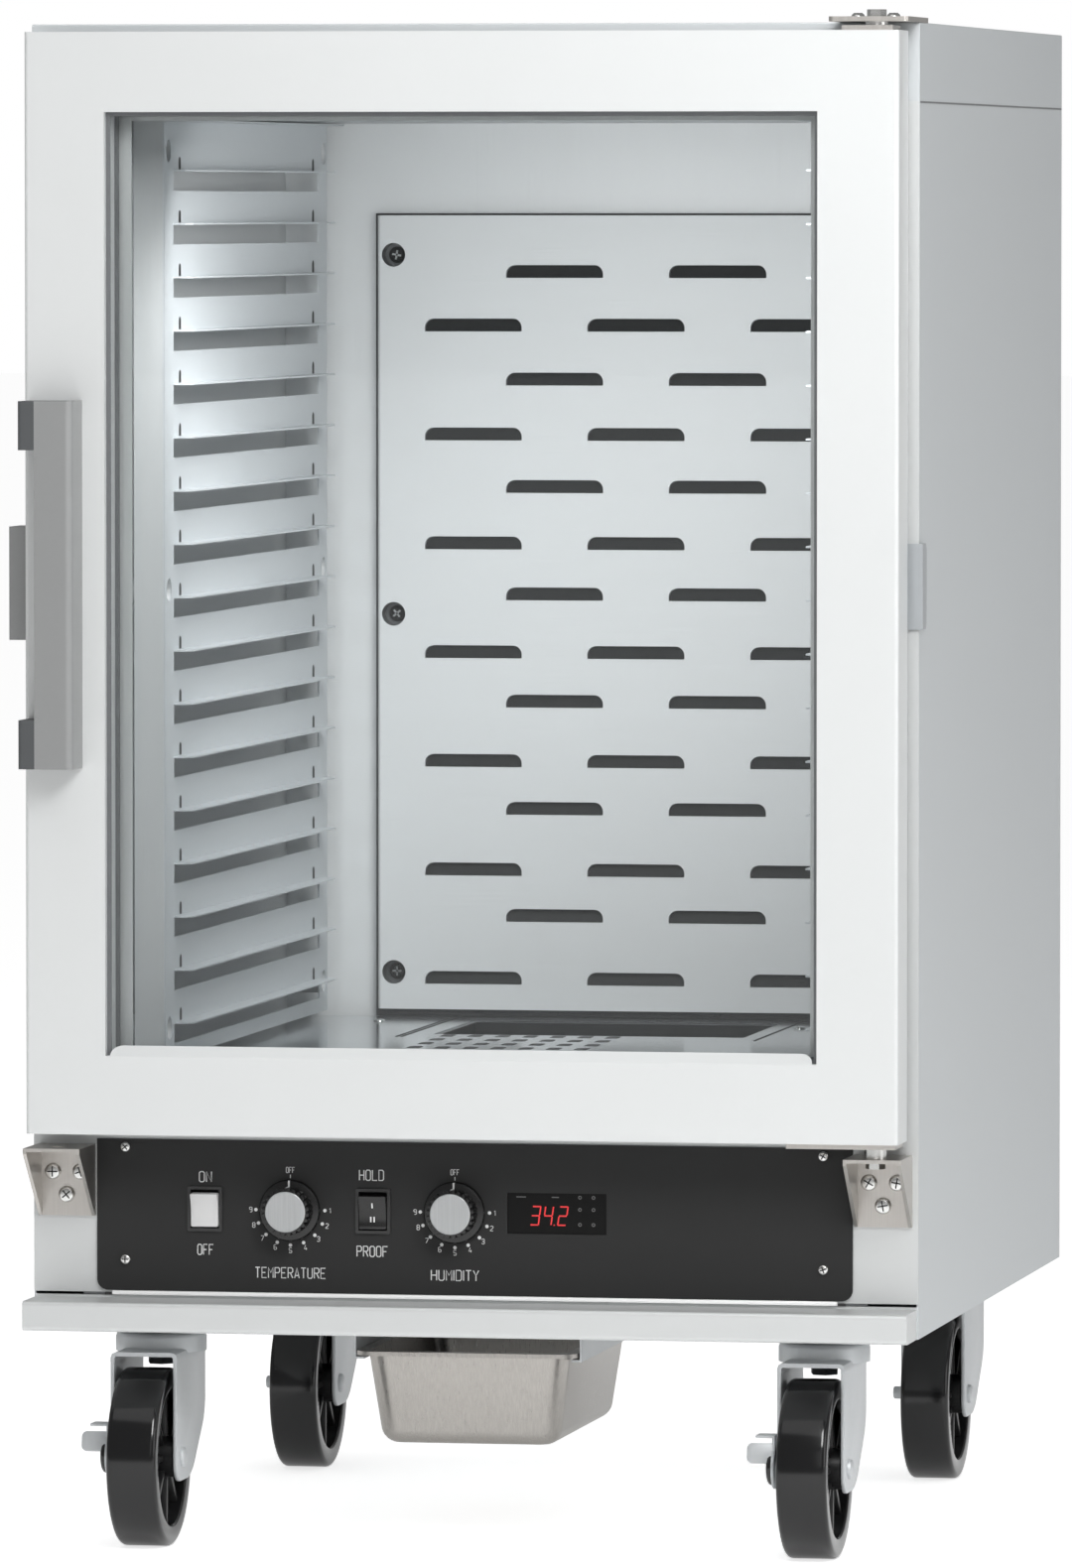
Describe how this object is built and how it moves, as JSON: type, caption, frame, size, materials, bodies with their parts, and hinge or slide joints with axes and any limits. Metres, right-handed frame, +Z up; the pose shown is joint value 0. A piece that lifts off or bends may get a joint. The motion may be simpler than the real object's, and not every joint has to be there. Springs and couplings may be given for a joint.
{
  "type": "proofing cabinet",
  "caption": "Half-height proofing cabinet on swivel casters: glazed door with handle and magnetic catch, lanced tray slides, louvred duct, switches, dials, drip pan.",
  "frame": {"origin": "on the floor, in the middle of the width and of the depth over the handle", "axes": "+Z up, +X to the viewer's right, -Y the front with the door"},
  "size_m": [0.6466, 0.797, 1.0895],
  "materials": {
    "white_enamel": "satin",
    "stainless": "satin",
    "grey_side": "satin",
    "zinc": "satin",
    "insulation_foam": "matte",
    "black_plastic": "matte",
    "panel_black": "matte",
    "knob_black": "satin",
    "rocker_white": "satin",
    "glass": "clear",
    "seal_rubber": "matte",
    "gasket_rubber": "matte",
    "screw_steel": "bright",
    "display": "gloss",
    "wheel_grey": "matte",
    "copper_motor": "satin",
    "cap_grey": "satin"
  },
  "bodies": {
    "cabinet": {"side_panel_left": "grey_side", "side_panel_right": "grey_side", "top_cap": "white_enamel", "back_panel": "grey_side", "front_frame": "white_enamel", "liner_left": "stainless", "liner_right": "stainless", "liner_back": "stainless", "liner_ceiling": "stainless", "insulation": "insulation_foam", "interior_floor": "stainless", "duct_panel": "stainless", "duct_spacers": "zinc", "slide_rack_left": "stainless", "slide_rack_right": "stainless", "rack_spacers": "zinc", "humidity_pan": "stainless", "humidity_heater": "zinc", "blower_housing": "zinc", "air_heater": "copper_motor", "blower_motor": "copper_motor", "base_frame": "white_enamel", "pan_rails": "zinc", "control_panel": "panel_black", "panel_screws": "screw_steel", "switch_bodies": "black_plastic", "dial_controls": "black_plastic", "display_module": "display", "power_inlet": "black_plastic", "strike_plates": "stainless", "top_hinge_plate": "stainless", "hinge_pins": "screw_steel", "hinge_brackets": "stainless", "hinge_screws": "screw_steel", "caster_plates": "zinc"},
    "door": {"door_shell": "white_enamel", "door_back": "white_enamel", "door_glass": "glass", "window_seals": "seal_rubber", "door_gasket": "gasket_rubber", "handle_bar": "zinc", "handle_end_caps": "cap_grey", "magnet_block": "zinc", "door_hinge_plates": "stainless"},
    "power_rocker": {"power_rocker": "rocker_white"},
    "mode_rocker": {"mode_rocker": "knob_black"},
    "temperature_knob": {"temperature_knob": "knob_black"},
    "humidity_knob": {"humidity_knob": "knob_black"},
    "blower_wheel": {"blower_wheel": "black_plastic"},
    "drip_pan": {"drip_pan": "stainless"},
    "caster_front_left": {"fork_front_left": "zinc"},
    "wheel_front_left": {"wheel_front_left": "wheel_grey"},
    "caster_front_right": {"fork_front_right": "zinc"},
    "wheel_front_right": {"wheel_front_right": "wheel_grey"},
    "caster_rear_left": {"fork_rear_left": "zinc"},
    "wheel_rear_left": {"wheel_rear_left": "wheel_grey"},
    "caster_rear_right": {"fork_rear_right": "zinc"},
    "wheel_rear_right": {"wheel_rear_right": "wheel_grey"},
    "pedal_left": {"brake_pedal_left": "zinc"},
    "pedal_right": {"brake_pedal_right": "zinc"}
  },
  "joints": [
    {"name": "door_hinge", "type": "hinge", "parent": "cabinet", "child": "door", "pos_m": [0.29245, -0.3445, 0.687], "axis": [0, 0, 1], "range_deg": [0, 180]},
    {"name": "power_rocker_tilt", "type": "hinge", "parent": "cabinet", "child": "power_rocker", "pos_m": [-0.193, -0.3115, 0.243], "axis": [-1, 0, 0], "range_deg": [0, 18]},
    {"name": "mode_rocker_tilt", "type": "hinge", "parent": "cabinet", "child": "mode_rocker", "pos_m": [-0.0716, -0.3115, 0.243], "axis": [-1, 0, 0], "range_deg": [0, 18]},
    {"name": "temperature_turn", "type": "hinge", "parent": "cabinet", "child": "temperature_knob", "pos_m": [-0.1313, -0.3205, 0.243], "axis": [0, 1, 0], "range_deg": [0, 270]},
    {"name": "humidity_turn", "type": "hinge", "parent": "cabinet", "child": "humidity_knob", "pos_m": [-0.0128, -0.3205, 0.243], "axis": [0, 1, 0], "range_deg": [0, 270]},
    {"name": "blower_spin", "type": "hinge", "parent": "cabinet", "child": "blower_wheel", "pos_m": [0, 0.3345, 0.232], "axis": [1, 0, 0], "continuous": true},
    {"name": "drip_pan_slide", "type": "slide", "parent": "cabinet", "child": "drip_pan", "axis": [0, -1, 0], "range_m": [0, 0.26]},
    {"name": "swivel_front_left", "type": "hinge", "parent": "cabinet", "child": "caster_front_left", "pos_m": [-0.24, -0.2415, 0.14], "axis": [0, 0, 1], "continuous": true},
    {"name": "roll_front_left", "type": "hinge", "parent": "caster_front_left", "child": "wheel_front_left", "pos_m": [-0.24, -0.2845, 0.0635], "axis": [1, 0, 0], "continuous": true},
    {"name": "swivel_front_right", "type": "hinge", "parent": "cabinet", "child": "caster_front_right", "pos_m": [0.24, -0.2415, 0.14], "axis": [0, 0, 1], "continuous": true},
    {"name": "roll_front_right", "type": "hinge", "parent": "caster_front_right", "child": "wheel_front_right", "pos_m": [0.24, -0.2845, 0.0635], "axis": [1, 0, 0], "continuous": true},
    {"name": "swivel_rear_left", "type": "hinge", "parent": "cabinet", "child": "caster_rear_left", "pos_m": [-0.24, 0.3315, 0.14], "axis": [0, 0, 1], "continuous": true},
    {"name": "roll_rear_left", "type": "hinge", "parent": "caster_rear_left", "child": "wheel_rear_left", "pos_m": [-0.24, 0.2885, 0.0635], "axis": [1, 0, 0], "continuous": true},
    {"name": "swivel_rear_right", "type": "hinge", "parent": "cabinet", "child": "caster_rear_right", "pos_m": [0.24, 0.3315, 0.14], "axis": [0, 0, 1], "continuous": true},
    {"name": "roll_rear_right", "type": "hinge", "parent": "caster_rear_right", "child": "wheel_rear_right", "pos_m": [0.24, 0.2885, 0.0635], "axis": [1, 0, 0], "continuous": true},
    {"name": "pedal_left_press", "type": "hinge", "parent": "caster_front_left", "child": "pedal_left", "pos_m": [-0.24, -0.2845, 0.0635], "axis": [1, 0, 0], "range_deg": [0, 20]},
    {"name": "pedal_right_press", "type": "hinge", "parent": "caster_front_right", "child": "pedal_right", "pos_m": [0.24, -0.2845, 0.0635], "axis": [1, 0, 0], "range_deg": [0, 20]}
  ]
}
